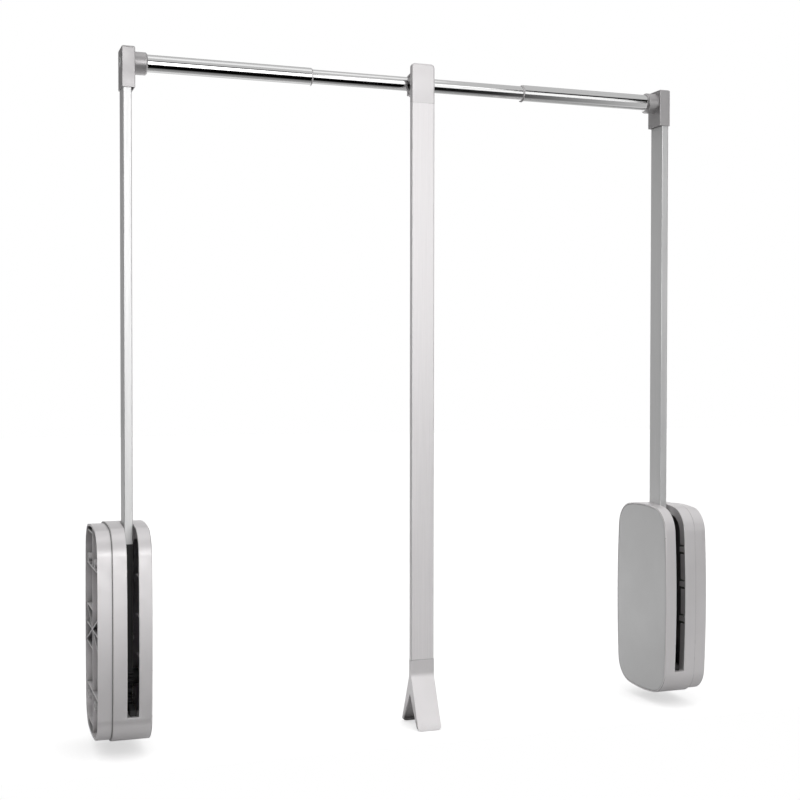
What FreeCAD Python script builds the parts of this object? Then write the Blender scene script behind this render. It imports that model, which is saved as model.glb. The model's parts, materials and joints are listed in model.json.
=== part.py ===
import FreeCAD, Part

import math
import os

import Sketcher
from fcgear import fcgear, involute

# Pull down closet rod, in millimetres. X runs to the right along the rail, Y to the
# back of the closet and Z up. The origin is on the left closet side, in the middle
# of the left housing's four wall screws. The arms stand upright, the rest position.
# Every piece of a side is built for the left and mirrored in the middle plane.

Vector = FreeCAD.Vector

SIZES = (
    # alias, value, what it is
    ("span", 830, "overall width, wall to wall, telescope closed"),
    ("case_depth", 138, "housing, front to back at its widest"),
    ("case_height", 264, "housing, bottom to top at its highest"),
    ("case_thickness", 64.5, "housing, wall to inner face"),
    ("side_bow", 1320, "radius of the long bowed sides"),
    ("end_bow", 255, "radius of the bowed top and bottom"),
    ("corner_radius", 35.5, "radius of the four corners"),
    ("base_thickness", 17.5, "base shell, wall to seam"),
    ("cover_lip", 2.3, "the cover stands proud of the base by this"),
    ("skin", 2.5, "wall of the mouldings"),
    ("rib", 1.8, "thickness of the stiffening ribs"),
    ("panel_margin", 1.9, "cover rim around the side panel"),
    ("panel_thickness", 2.5, "side panel"),
    ("seat_gap", 0.2, "gap around a part that snaps into a recess"),
    ("fit_gap", 0.02, "radial gap of a pressed or screwed fit"),
    ("run_gap", 0.05, "radial gap of a running fit"),
    ("pivot_y", -7.8, "arm pivot, front to back"),
    ("pivot_rise", 73.6, "bottom of the housing up to the arm pivot"),
    ("pin_radius", 5, "pivot pin"),
    ("boss_radius", 10, "bosses around the pivot pin"),
    ("bush_wall", 2, "wall of the pivot bushes"),
    ("bush_flange", 1.5, "thickness of the bush flanges"),
    ("arm_inset", 42.4, "wall to the middle of the arm"),
    ("arm_thick", 10.8, "arm, along the rail"),
    ("arm_deep", 29.6, "arm, front to back"),
    ("arm_wall", 1.4, "wall of the arm's hollow section"),
    ("arm_edge", 1.3, "radius of the arm's long edges"),
    ("rod_rise", 753.9, "pivot to rail axis"),
    ("slot_side", 0.6, "gap between arm and slot on the room side"),
    ("slot_wall", 2.6, "gap between arm and slot on the wall side"),
    ("slot_behind", 3, "gap between arm and slot, behind"),
    ("slot_drop", 37.2, "pivot down to the sill of the slot"),
    ("swing", 105, "travel of the arm in degrees"),
    ("gear_module", 2.2, "module of hub, rack and pinion"),
    ("hub_teeth", 16, "teeth of the hub's full circle"),
    ("pinion_teeth", 11, "teeth of the damper pinion"),
    ("gear_width", 10.4, "face width of the teeth"),
    ("mesh_gap", 0.15, "extra centre distance, for backlash"),
    ("shoulder", 165, "pivot to the foot of the arm"),
    ("tang_length", 54, "hub tang inside the arm"),
    ("rod_back", 39.8, "pivot to spring rod, front to back"),
    ("spring_rod_radius", 4, "spring rod"),
    ("collar_radius", 10, "carriage collar around the spring rod"),
    ("spring_radius", 7.6, "mean radius of the coil"),
    ("wire_radius", 1.3, "spring wire"),
    ("spring_turns", 7, "turns of the coil"),
    ("spring_drop", 60, "top of the housing down to the upper spring seat"),
    ("lug", 6, "thickness of the spring rod lugs"),
    ("damper_radius", 13, "rotary damper"),
    ("bracket_wall", 1.3, "wall of the rod bracket on its wall side"),
    ("bracket_wide", 16.3, "rod bracket, along the rail"),
    ("bracket_deep", 32.3, "rod bracket, front to back"),
    ("bracket_above", 17.6, "rod bracket above the rail axis"),
    ("bracket_below", 32.6, "rod bracket below the rail axis"),
    ("socket_radius", 13.9, "socket of the bracket"),
    ("socket_length", 16, "socket of the bracket, along the rail"),
    ("tube_radius", 11.5, "outer tubes"),
    ("tube_wall", 1, "wall of the tubes"),
    ("inner_radius", 9.75, "inner tube"),
    ("left_mouth", 276, "left wall to the mouth of the left outer tube"),
    ("right_mouth", 256, "right wall to the mouth of the right outer tube"),
    ("plug_length", 20, "tube plug"),
    ("tube_gap", 7.4, "plug to the end of the closed inner tube"),
    ("sleeve_length", 15, "guide sleeve in the mouth of an outer tube"),
    ("glide_length", 8, "glide on each end of the inner tube"),
    ("screw_radius", 2.5, "bracket screw"),
    ("handle_x", 422.4, "middle of the handle, from the left wall"),
    ("handle_reach", 23.8, "rail axis to the front of the handle"),
    ("handle_wide", 32.4, "handle, along the rail"),
    ("bar_deep", 7.6, "handle bar, front to back"),
    ("bar_wall", 1.3, "wall of the handle bar"),
    ("bar_edge", 2.2, "radius of the handle bar's edges"),
    ("bar_length", 728, "handle bar"),
    ("head_above", 23.8, "handle head above the rail axis"),
    ("head_below", 27.3, "handle head below the rail axis"),
    ("tang_grip", 22, "tangs of head and foot inside the bar"),
    ("foot_neck", 22, "straight neck of the handle foot"),
    ("foot_legs", 65.4, "height of the splayed legs"),
    ("leg_splay", 28.4, "how far each leg spreads outwards"),
    ("leg_apex", 23, "end of the neck down to the apex between the legs"),
    ("toe_deep", 4.5, "thickness of the legs at the bottom, front to back"),
)

doc = FreeCAD.newDocument("closet_lift")
sheet = doc.addObject("Spreadsheet::Sheet", "dim")
for row, (alias, number, note) in enumerate(SIZES, 1):
    sheet.set(f"A{row}", note)
    sheet.set(f"B{row}", str(number))
    sheet.setAlias(f"B{row}", alias)
doc.recompute()

nodes = {}  # node name to document object

# Places that several pieces share, as expressions on the sheet
PIVOT_Z = "(dim.pivot_rise - dim.case_height / 2)"
SPRING_TOP = "(dim.case_height / 2 - dim.spring_drop)"
ROD_Z = f"({PIVOT_Z} + dim.rod_rise)"
PLATE_X = "(dim.base_thickness - dim.skin)"
WEB_X = "(dim.case_thickness - dim.panel_thickness - dim.skin)"
SLOT_LOW = "(dim.arm_inset - dim.arm_thick / 2 - dim.slot_wall)"
SLOT_HIGH = "(dim.arm_inset + dim.arm_thick / 2 + dim.slot_side)"
ARM_BACK = "(dim.pivot_y + dim.arm_deep / 2)"
SILL_Z = f"({PIVOT_Z} - dim.slot_drop)"
HUB_PITCH = "(dim.gear_module * dim.hub_teeth / 2)"
PINION_PITCH = "(dim.gear_module * dim.pinion_teeth / 2)"
PINION_Z = f"({PIVOT_Z} - {HUB_PITCH} - {PINION_PITCH} - dim.mesh_gap)"
RACK_Y = f"(dim.pivot_y + {HUB_PITCH} + dim.mesh_gap)"
RACK_TRAVEL = f"({HUB_PITCH} * dim.swing * pi / 180)"
ROD_BACK_Y = "(dim.pivot_y + dim.rod_back)"
HUB_FACE = "(dim.arm_inset - dim.gear_width / 2)"
ARM_FOOT = f"({PIVOT_Z} + dim.shoulder)"
ARM_TOP = f"({ROD_Z} + dim.bracket_above - 2 * dim.skin)"
BRACKET_BACK = "(dim.arm_inset - dim.arm_thick / 2 - dim.bracket_wall)"
BRACKET_FACE = f"({BRACKET_BACK} + dim.bracket_wide)"
TUBE_X = f"({BRACKET_FACE} + dim.bracket_wall)"
INNER_X = f"({TUBE_X} + dim.plug_length + dim.tube_gap)"
BAR_TOP = f"({ROD_Z} - dim.head_below)"
BAR_BOTTOM = f"({BAR_TOP} - dim.bar_length)"
HANDLE_Y = "(dim.pivot_y - dim.handle_reach)"


# ---- helpers -------------------------------------------------------------------------

TURN = {
    "x": FreeCAD.Rotation(Vector(0, 1, 0), 90),
    "y": FreeCAD.Rotation(Vector(1, 0, 0), -90),
    "z": FreeCAD.Rotation(),
}


def place(item, x, y, z):
    """Bind an object's position to three expressions."""
    for axis, text in zip("xyz", (x, y, z)):
        item.setExpression(f"Placement.Base.{axis}", text)
    return item


def block(name, low, size):
    """A box from its lowest corner and its three sizes, all expressions."""
    item = doc.addObject("Part::Box", name)
    for prop, text in zip(("Length", "Width", "Height"), size):
        item.setExpression(prop, text)
    return place(item, *low)


def cylinder(name, axis, start, radius, length):
    """A cylinder that runs from start along +axis."""
    item = doc.addObject("Part::Cylinder", name)
    item.Placement = FreeCAD.Placement(Vector(), TURN[axis])
    item.setExpression("Radius", radius)
    item.setExpression("Height", length)
    return place(item, *start)


def cone(name, axis, start, first, last, length):
    """A cone frustum that runs from start along +axis."""
    item = doc.addObject("Part::Cone", name)
    item.Placement = FreeCAD.Placement(Vector(), TURN[axis])
    for prop, text in zip(("Radius1", "Radius2", "Height"), (first, last, length)):
        item.setExpression(prop, text)
    return place(item, *start)


def fuse(name, *shapes):
    item = doc.addObject("Part::MultiFuse", name)
    item.Shapes = list(shapes)
    item.Refine = True
    return item


def common(name, *shapes):
    item = doc.addObject("Part::MultiCommon", name)
    item.Shapes = list(shapes)
    item.Refine = True
    return item


def cut(name, base, *tools):
    item = doc.addObject("Part::Cut", name)
    item.Base = base
    item.Tool = tools[0] if len(tools) == 1 else fuse(f"{name}_tools", *tools)
    item.Refine = True
    return item


def group(name, *shapes):
    """Several separate solids that share one node."""
    item = doc.addObject("Part::Compound", name)
    item.Links = list(shapes)
    return item


def rounded(name, base, radius, pick):
    """Round the edges of base that pick accepts."""
    doc.recompute()
    item = doc.addObject("Part::Fillet", name)
    item.Base = base
    edges = enumerate(base.Shape.Edges, 1)
    item.Edges = [(number, radius, radius) for number, edge in edges if pick(edge)]
    return item


def along(axis):
    """A test for straight edges parallel to an axis."""
    way = {"x": Vector(1, 0, 0), "y": Vector(0, 1, 0), "z": Vector(0, 0, 1)}[axis]

    def test(edge):
        if not isinstance(edge.Curve, Part.Line):
            return False
        return abs(abs(edge.Curve.Direction.dot(way)) - 1) < 1e-6

    return test


def new_sketch(body, plane, shift="0"):
    """A sketch on one of the body's own origin planes, shifted along its normal."""
    sketch = body.newObject("Sketcher::SketchObject", f"{body.Name}_sketch")
    origin_plane = next(f for f in body.Origin.OriginFeatures if f.Role == plane)
    sketch.AttachmentSupport = [(origin_plane, "")]
    sketch.MapMode = "FlatFace"
    sketch.setExpression("AttachmentOffset.Base.z", shift)
    return sketch


def limit(sketch, kind, *where, by):
    """A sketch dimension bound to an expression."""
    number = sketch.addConstraint(Sketcher.Constraint(kind, *where))
    sketch.setExpression(f"Constraints[{number}]", by)


def polygon(sketch, corners):
    """A closed outline of straight lines through corners given as expressions."""
    count = len(corners)
    turns = [2 * math.pi * i / count for i in range(count)]
    spots = [Vector(math.cos(turn), math.sin(turn), 0) for turn in turns]
    for i in range(count):
        sketch.addGeometry(Part.LineSegment(spots[i], spots[(i + 1) % count]))
    for i in range(count):
        sketch.addConstraint(Sketcher.Constraint("Coincident", i, 2, (i + 1) % count, 1))
    for i, (across, up) in enumerate(corners):
        limit(sketch, "DistanceX", -1, 1, i, 1, spots[i].x, by=across)
        limit(sketch, "DistanceY", -1, 1, i, 1, spots[i].y, by=up)


def case_outline(sketch, inset):
    """The housing's outline, moved inwards: four bowed sides and four corner arcs."""
    depth, height = sheet.case_depth, sheet.case_height
    side, end, corner = sheet.side_bow, sheet.end_bow, sheet.corner_radius
    # the corner's centre lies where its distances to both bow centres fit
    side_y, end_z = depth / 2 - side, height / 2 - end
    reach = math.hypot(side_y, end_z)
    foot = ((side - corner) ** 2 - (end - corner) ** 2 + reach**2) / (2 * reach)
    rise = math.sqrt((side - corner) ** 2 - foot**2)
    corner_y = side_y - foot * side_y / reach + rise * -end_z / reach
    corner_z = foot * end_z / reach - rise * side_y / reach
    low = math.atan2(corner_z, corner_y - side_y)
    high = math.atan2(corner_z - end_z, corner_y)
    quarter = math.pi / 2
    arcs = (
        (side_y, 0, side, -low, low),
        (corner_y, corner_z, corner, low, high),
        (0, end_z, end, high, 2 * quarter - high),
        (-corner_y, corner_z, corner, 2 * quarter - high, 2 * quarter - low),
        (-side_y, 0, side, 2 * quarter - low, 2 * quarter + low),
        (-corner_y, -corner_z, corner, 2 * quarter + low, 2 * quarter + high),
        (0, -end_z, end, 2 * quarter + high, 4 * quarter - high),
        (corner_y, -corner_z, corner, 4 * quarter - high, 4 * quarter - low),
    )
    for y, z, radius, first, last in arcs:
        circle = Part.Circle(Vector(y, z, 0), Vector(0, 0, 1), radius)
        sketch.addGeometry(Part.ArcOfCircle(circle, first, last))
    for i in range(8):
        sketch.addConstraint(Sketcher.Constraint("Tangent", i, 2, (i + 1) % 8, 1))
    for i in (0, 4):
        sketch.addConstraint(Sketcher.Constraint("PointOnObject", i, 3, -1))
        limit(sketch, "Radius", i, side, by=f"dim.side_bow - ({inset})")
    for i in (2, 6):
        sketch.addConstraint(Sketcher.Constraint("PointOnObject", i, 3, -2))
        limit(sketch, "Radius", i, end, by=f"dim.end_bow - ({inset})")
    for i in (1, 3, 5, 7):
        limit(sketch, "Radius", i, corner, by=f"dim.corner_radius - ({inset})")
    half_depth = "(dim.side_bow - dim.case_depth / 2)"
    half_height = "(dim.end_bow - dim.case_height / 2)"
    limit(sketch, "DistanceX", -1, 1, 0, 3, side_y, by=f"-{half_depth}")
    limit(sketch, "DistanceX", -1, 1, 4, 3, -side_y, by=half_depth)
    limit(sketch, "DistanceY", -1, 1, 2, 3, end_z, by=f"-{half_height}")
    limit(sketch, "DistanceY", -1, 1, 6, 3, -end_z, by=half_height)


def extrude(body, sketch, length):
    item = body.newObject("PartDesign::Pad", f"{body.Name}_pad")
    item.Profile = sketch
    item.setExpression("Length", length)
    return item


def prism(name, plane, shift, corners, length):
    """A straight-sided outline, extruded from shift along the plane's normal."""
    body = doc.addObject("PartDesign::Body", name)
    sketch = new_sketch(body, plane, shift)
    polygon(sketch, corners)
    extrude(body, sketch, length)
    return body


def case_prism(name, inset, start, length, edge=None):
    """The housing's outline extruded from the wall inwards, its far rim bevelled by edge."""
    body = doc.addObject("PartDesign::Body", name)
    sketch = new_sketch(body, "YZ_Plane", start)
    case_outline(sketch, inset)
    pad = extrude(body, sketch, length)
    if edge:
        doc.recompute()
        far = pad.Shape.BoundBox.XMax
        rim = [
            f"Edge{number}"
            for number, side in enumerate(pad.Shape.Edges, 1)
            if side.BoundBox.XMin > far - 1e-3
        ]
        bevel = body.newObject("PartDesign::Chamfer", f"{name}_rim")
        bevel.Base = (pad, rim)
        bevel.setExpression("Size", edge)
    return body


def mirrored(name, source):
    """The right-hand copy of a left-hand piece."""
    item = doc.addObject("Part::Mirroring", name)
    item.Source = source
    item.Normal = (1, 0, 0)
    item.setExpression("Base.x", "dim.span / 2")
    return item


def both_sides(name, build):
    """Build a piece for the left and mirror it to the right."""
    left = build(f"left_{name}")
    nodes[f"left_{name}"] = left
    nodes[f"right_{name}"] = mirrored(f"right_{name}", left)


# ---- housing -------------------------------------------------------------------------

RIM_BEVEL = "0.7"  # bevelled rims of cover and side panel
THROUGH = "40"  # a cutter this long passes through whatever it cuts
WALL_SCREW_Y = 32
WALL_SCREW_Z = 86
WALL_SCREW_HOLE = 2.5
WALL_BOSS = 5.5
UPRIGHT_RIB_Y = 4
RIB_HEIGHTS = (-119, -77, -24, 0, 24, 77, 119)
LONG_RIBS = (0, 77)  # these run from front to back, the others behind the upright rib
DIAGONAL = 20  # slope of the crossed ribs in degrees
LIP_RISE = 3.5  # the lip that locates the cover rises this far above the floor
POSTS = (  # three along the back and one in the lower front corner
    ("(dim.case_depth / 2 - 22)", "(dim.case_height / 2 - 28)"),
    ("(dim.case_depth / 2 - 15)", "-22"),
    ("(dim.case_depth / 2 - 20)", "(19 - dim.case_height / 2)"),
    ("(33 - dim.case_depth / 2)", "(20 - dim.case_height / 2)"),
)
POST_RADIUS = 4.5
POST_HOLE = 1.6
POST_SPLIT_X = 38
SCREW_SINK = 0.6  # heads of the cover screws below the cover's web
SCREW_HEAD = 3.1
HEAD_ROOM = 0.3
HEAD_THICK = 1.7
LUG_REACH = 10
PIN_SINK = 0.5  # from the walls to the pivot pin's seats
COVER_BOSS = 3.5  # height of the pivot boss on the cover's web
SILL_DEEP = 36
STOP_TAB = 24  # height of the tab behind the upper bump stop
SLOT_RIB_HEIGHTS = (-24, 24, 72)
SLOT_RIB_DEEP = 16
INNER_RIB_DEEP = 30
SKIRT_DEEP = 12.5  # the skirt beside the slot, measured from the outline
SKIRT_BLOCK = 7  # height of the blocks in the skirt's notches
SKIRT_NOTCH = 13


def at_posts(make):
    """One object for each cover post."""
    return [make(number, y, z) for number, (y, z) in enumerate(POSTS, 1)]


def wall_side_ribs(name):
    """The rib pattern that stiffens the base shell on its wall side."""
    start, depth = "dim.rib", f"({PLATE_X} - dim.rib / 2)"
    half_depth, half_height = "dim.case_depth / 2", "dim.case_height / 2"
    ribs = [
        block(
            f"{name}_upright",
            (start, f"{UPRIGHT_RIB_Y} - dim.rib / 2", f"-{half_height}"),
            (depth, "dim.rib", "dim.case_height"),
        )
    ]
    for number, level in enumerate(RIB_HEIGHTS, 1):
        front = f"-{half_depth}" if abs(level) in LONG_RIBS else str(UPRIGHT_RIB_Y)
        ribs.append(
            block(
                f"{name}_level{number}",
                (start, front, f"{level} - dim.rib / 2"),
                (depth, f"{half_depth} - ({front})", "dim.rib"),
            )
        )
    for number, sign in enumerate((1, -1), 1):
        slope = block(
            f"{name}_slope{number}",
            (start, "-dim.case_depth", "-dim.rib / 2"),
            (depth, "dim.case_depth * 2", "dim.rib"),
        )
        slope.Placement.Rotation = FreeCAD.Rotation(Vector(1, 0, 0), sign * DIAGONAL)
        # the diagonals cross in the middle of the upright rib
        back = f"{UPRIGHT_RIB_Y} - dim.case_depth * cos({DIAGONAL})"
        slope.setExpression("Placement.Base.y", back)
        slope.setExpression("Placement.Base.z", f"{-sign} * dim.case_depth * sin({DIAGONAL})")
        ribs.append(slope)
    for number, (y, z) in enumerate(wall_screws(), 1):
        ribs.append(
            cylinder(f"{name}_boss{number}", "x", ("0", y, z), str(WALL_BOSS), PLATE_X)
        )
    return common(
        f"{name}_trimmed",
        fuse(name, *ribs),
        case_prism(f"{name}_bounds", "dim.cover_lip + dim.skin / 2", "0", "dim.base_thickness"),
    )


def wall_screws():
    """The four corners of the wall screw pattern, as expressions."""
    return [(str(y * WALL_SCREW_Y), str(z * WALL_SCREW_Z)) for y in (-1, 1) for z in (-1, 1)]


def base_shell(name):
    """Wall plate: a rim and a floor, ribs towards the wall, mounts towards the cover."""
    inner = "dim.cover_lip + dim.skin"
    shell = cut(
        f"{name}_shell",
        case_prism(f"{name}_outer", "dim.cover_lip", "0", "dim.base_thickness"),
        case_prism(f"{name}_recess", inner, "-1", f"{PLATE_X} + 1"),
    )
    lip = cut(
        f"{name}_lip",
        case_prism(f"{name}_lip_out", "dim.skin + dim.seat_gap", PLATE_X, f"dim.skin + {LIP_RISE}"),
        case_prism(f"{name}_lip_in", "dim.skin + dim.seat_gap + dim.rib", "0", "50"),
    )
    boss = cylinder(
        f"{name}_pivot_boss",
        "x",
        (PLATE_X, "dim.pivot_y", PIVOT_Z),
        "dim.boss_radius",
        f"{HUB_FACE} - dim.bush_flange - dim.seat_gap - {PLATE_X}",
    )
    lugs = [
        block(
            f"{name}_{where}_lug",
            (PLATE_X, f"{ROD_BACK_Y} - {LUG_REACH}", low),
            (f"dim.arm_inset + {LUG_REACH} - {PLATE_X}", f"2 * {LUG_REACH} + 4", "dim.lug"),
        )
        for where, low in (("upper", SPRING_TOP), ("lower", CARRIAGE_LOW_LUG))
    ]
    posts = at_posts(
        lambda number, y, z: cylinder(
            f"{name}_post{number}",
            "x",
            (PLATE_X, y, z),
            str(POST_RADIUS),
            f"{POST_SPLIT_X} - {PLATE_X}",
        )
    )
    inside = case_prism(f"{name}_room", "dim.skin + dim.seat_gap", PLATE_X, WEB_X)
    seats = cut(
        f"{name}_seats",
        common(f"{name}_seated_lugs", fuse(f"{name}_lugs", *lugs), inside),
        *at_posts(
            lambda number, y, z: cylinder(
                f"{name}_clearance{number}",
                "x",
                (str(POST_SPLIT_X), y, z),
                f"{POST_RADIUS} + dim.fit_gap",
                THROUGH,
            )
        ),
    )
    body = fuse(f"{name}_body", shell, wall_side_ribs(f"{name}_ribs"), lip, boss, seats, *posts)
    holes = [
        cylinder(f"{name}_wall_hole{number}", "x", ("-1", y, z), str(WALL_SCREW_HOLE), THROUGH)
        for number, (y, z) in enumerate(wall_screws(), 1)
    ]
    holes += at_posts(
        lambda number, y, z: cylinder(
            f"{name}_pilot{number}", "x", (PLATE_X, y, z), str(POST_HOLE), THROUGH
        )
    )
    holes.append(
        cylinder(
            f"{name}_pin_hole",
            "x",
            (f"dim.base_thickness + {PIN_SINK}", "dim.pivot_y", PIVOT_Z),
            "dim.pin_radius + dim.fit_gap",
            THROUGH,
        )
    )
    holes.append(
        cylinder(
            f"{name}_rod_hole",
            "z",
            ("dim.arm_inset", ROD_BACK_Y, "-dim.case_height / 2 + dim.skin * 2"),
            "dim.spring_rod_radius + dim.fit_gap",
            "dim.case_height - dim.skin * 4",
        )
    )
    return cut(name, body, *holes)


RACK_SPARE = 9  # rack beyond the teeth that mesh at the two ends of the travel
LUG_SPARE = 3
COLLAR_RISE = 4
CARRIAGE_TOP = f"({PIVOT_Z} + {RACK_SPARE})"
CARRIAGE_LOW = f"({PIVOT_Z} - {RACK_TRAVEL} - {RACK_SPARE})"
CARRIAGE_LOW_LUG = f"({CARRIAGE_LOW} - {LUG_SPARE} - dim.lug)"
COLLAR_TOP = f"({PIVOT_Z} + {COLLAR_RISE})"


def cover(name):
    """Cover: a cup with the arm slot, a recess for the side panel and inner mounts."""
    length = "dim.case_thickness - dim.base_thickness"
    shell = cut(
        f"{name}_shell",
        case_prism(f"{name}_outer", "0", "dim.base_thickness", length, RIM_BEVEL),
        case_prism(f"{name}_cavity", "dim.skin", "0", WEB_X),
        case_prism(
            f"{name}_recess",
            "dim.panel_margin",
            "dim.case_thickness - dim.panel_thickness",
            "dim.panel_thickness + 1",
        ),
    )
    front = "-dim.case_depth / 2"
    slot_back = f"({ARM_BACK} + dim.slot_behind)"
    boss_x = f"({WEB_X} - {COVER_BOSS})"
    tab_x = "(dim.arm_inset - dim.arm_thick / 2)"
    inner = [
        cylinder(
            f"{name}_pivot_boss",
            "x",
            (boss_x, "dim.pivot_y", PIVOT_Z),
            "dim.boss_radius",
            f"{WEB_X} + 1 - {boss_x}",
        ),
        block(
            f"{name}_sill",
            (f"{SLOT_LOW} - dim.rib", front, f"{SILL_Z} - dim.skin"),
            (f"{WEB_X} + 1 - {SLOT_LOW} + dim.rib", str(SILL_DEEP), "dim.skin"),
        ),
        block(
            f"{name}_stop_tab",
            (tab_x, f"{ARM_BACK} + {PAD_GAP} + {PAD_THICK}", f"dim.case_height / 2 - {STOP_TAB}"),
            (f"{WEB_X} + 1 - {tab_x}", "dim.skin", str(STOP_TAB)),
        ),
        slot_skirt(f"{name}_skirt", slot_back),
    ]
    for number, level in enumerate(SLOT_RIB_HEIGHTS, 1):
        inner.append(
            block(
                f"{name}_outer_rib{number}",
                (f"dim.base_thickness + {LIP_RISE} + 2.5", front, f"{level} - {SKIRT_BLOCK} / 2"),
                (
                    f"{SLOT_LOW} - dim.base_thickness - {LIP_RISE} - 2.5",
                    str(SLOT_RIB_DEEP),
                    str(SKIRT_BLOCK),
                ),
            )
        )
        inner.append(
            block(
                f"{name}_inner_rib{number}",
                (SLOT_HIGH, front, f"{level} - dim.rib / 2"),
                (f"{WEB_X} + 1 - {SLOT_HIGH}", str(INNER_RIB_DEEP), "dim.rib"),
            )
        )
    inner += at_posts(
        lambda number, y, z: cylinder(
            f"{name}_post{number}",
            "x",
            (str(POST_SPLIT_X), y, z),
            str(POST_RADIUS),
            f"{WEB_X} + 1 - {POST_SPLIT_X}",
        )
    )
    trimmed = common(
        f"{name}_inner",
        fuse(f"{name}_inner_parts", *inner),
        case_prism(f"{name}_bounds", "dim.skin / 2", "dim.base_thickness", length),
    )
    slot = block(
        f"{name}_slot",
        (SLOT_LOW, "-dim.case_depth", SILL_Z),
        (f"{SLOT_HIGH} - {SLOT_LOW}", f"dim.case_depth + {slot_back}", "dim.case_height"),
    )
    holes = [
        cylinder(
            f"{name}_pin_hole",
            "x",
            ("dim.arm_inset", "dim.pivot_y", PIVOT_Z),
            "dim.pin_radius + dim.fit_gap",
            f"{WEB_X} - {PIN_SINK} + 0.5 - dim.arm_inset",
        )
    ]
    holes += at_posts(
        lambda number, y, z: cylinder(
            f"{name}_screw_hole{number}", "x", ("30", y, z), str(POST_HOLE), THROUGH
        )
    )
    holes += at_posts(
        lambda number, y, z: cylinder(
            f"{name}_head_hole{number}",
            "x",
            (f"{WEB_X} + {SCREW_SINK}", y, z),
            f"{SCREW_HEAD} + {HEAD_ROOM}",
            "10",
        )
    )
    return cut(name, fuse(f"{name}_body", shell, trimmed), slot, *holes)


def slot_skirt(name, slot_back):
    """A skirt that follows the outline on the wall side of the slot, notched at the ribs."""
    front = "-dim.case_depth / 2"
    slab = block(
        f"{name}_slab",
        (f"{SLOT_LOW} - dim.rib", front, SILL_Z),
        ("dim.rib", f"{slot_back} + dim.case_depth / 2", f"dim.case_height / 2 - {SILL_Z}"),
    )
    core = case_prism(f"{name}_core", str(SKIRT_DEEP), "dim.base_thickness", THROUGH)
    notches = [
        block(
            f"{name}_notch{number}",
            ("dim.base_thickness", front, f"{level} - {SKIRT_NOTCH} / 2"),
            (THROUGH, "dim.case_depth / 2 - 20", str(SKIRT_NOTCH)),
        )
        for number, level in enumerate(SLOT_RIB_HEIGHTS, 1)
    ]
    return cut(name, slab, core, *notches)


def side_panel(name):
    return case_prism(
        name,
        "dim.panel_margin + dim.seat_gap",
        "dim.case_thickness - dim.panel_thickness",
        "dim.panel_thickness",
        RIM_BEVEL,
    )


def cover_screws(name):
    """Countersunk-pocket screws through the cover posts into the base posts."""
    return group(
        name,
        *at_posts(
            lambda number, y, z: fuse(
                f"{name}{number}",
                cylinder(
                    f"{name}{number}_shank",
                    "x",
                    ("dim.base_thickness + 3", y, z),
                    f"{POST_HOLE} - dim.fit_gap",
                    f"{WEB_X} - dim.base_thickness - 2",
                ),
                cylinder(
                    f"{name}{number}_head",
                    "x",
                    (f"{WEB_X} + {SCREW_SINK}", y, z),
                    str(SCREW_HEAD),
                    str(HEAD_THICK),
                ),
            )
        ),
    )


PAD_GAP = 0.3  # between the upright arm and its pad
PAD_THICK = 6.2
PAD_WIDE = 8
WEDGE = (37, 53)  # the lower stop, from and to this far in front of the pivot


def bump_stops(name):
    """A pad behind the upright arm and a wedge under the lowered one."""
    upper = block(
        f"{name}_upper",
        (
            f"dim.arm_inset - {PAD_WIDE} / 2",
            f"{ARM_BACK} + {PAD_GAP}",
            f"dim.case_height / 2 - {STOP_TAB} + 2",
        ),
        (str(PAD_WIDE), str(PAD_THICK), f"{STOP_TAB} - 10"),
    )
    slope = math.tan(math.radians(sheet.swing - 90))
    under = f"({PIVOT_Z} - dim.arm_deep / 2 / cos(dim.swing - 90) - {PAD_GAP})"

    def top(y):
        return f"{under} + ({y} - dim.pivot_y) * {slope}"

    back, front = (f"(dim.pivot_y - {reach})" for reach in WEDGE)
    lower = prism(
        f"{name}_lower",
        "YZ_Plane",
        f"dim.arm_inset - {PAD_WIDE} / 2",
        ((front, SILL_Z), (back, SILL_Z), (back, top(back)), (front, top(front))),
        str(PAD_WIDE),
    )
    return group(name, upper, lower)


both_sides("base_shell", base_shell)
both_sides("cover", cover)
both_sides("side_panel", side_panel)
both_sides("cover_screws", cover_screws)
both_sides("bump_stops", bump_stops)


# ---- lift mechanism ------------------------------------------------------------------


def pivot_pin(name):
    start = f"(dim.base_thickness + {PIN_SINK} + dim.seat_gap)"
    return cylinder(
        name,
        "x",
        (start, "dim.pivot_y", PIVOT_Z),
        "dim.pin_radius",
        f"{WEB_X} - {PIN_SINK} + 0.3 - {start}",
    )


BUSH_SPLIT = 0.5  # each bush ends this far from the middle of the hub


def pivot_bushes(name):
    """Two flanged bushes, pressed into the hub; the room side's flange is a long spacer."""

    def bush(side, flange_x, sleeve_x, flange):
        length = f"(dim.gear_width / 2 - {BUSH_SPLIT})"
        spot = ("dim.pivot_y", PIVOT_Z)
        outer = "dim.pin_radius + dim.run_gap + dim.bush_wall"
        return cut(
            f"{name}_{side}",
            fuse(
                f"{name}_{side}_body",
                cylinder(f"{name}_{side}_sleeve", "x", (sleeve_x, *spot), outer, length),
                cylinder(
                    f"{name}_{side}_flange",
                    "x",
                    (flange_x, *spot),
                    "dim.boss_radius - 0.5",
                    flange,
                ),
            ),
            cylinder(
                f"{name}_{side}_bore", "x", ("30", *spot), "dim.pin_radius + dim.run_gap", THROUGH
            ),
        )

    far = "(dim.arm_inset + dim.gear_width / 2)"
    spacer = f"{WEB_X} - {COVER_BOSS} - dim.seat_gap - {far}"
    return group(
        name,
        bush("wall", f"{HUB_FACE} - dim.bush_flange", HUB_FACE, "dim.bush_flange"),
        bush("room", far, f"{far} - (dim.gear_width / 2 - {BUSH_SPLIT})", spacer),
    )


PRESSURE = 20  # pressure angle in degrees
TOOTH_TIP = 0.9  # tip and root of the teeth from the pitch line, in modules
TOOTH_ROOT = 1.25


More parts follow.
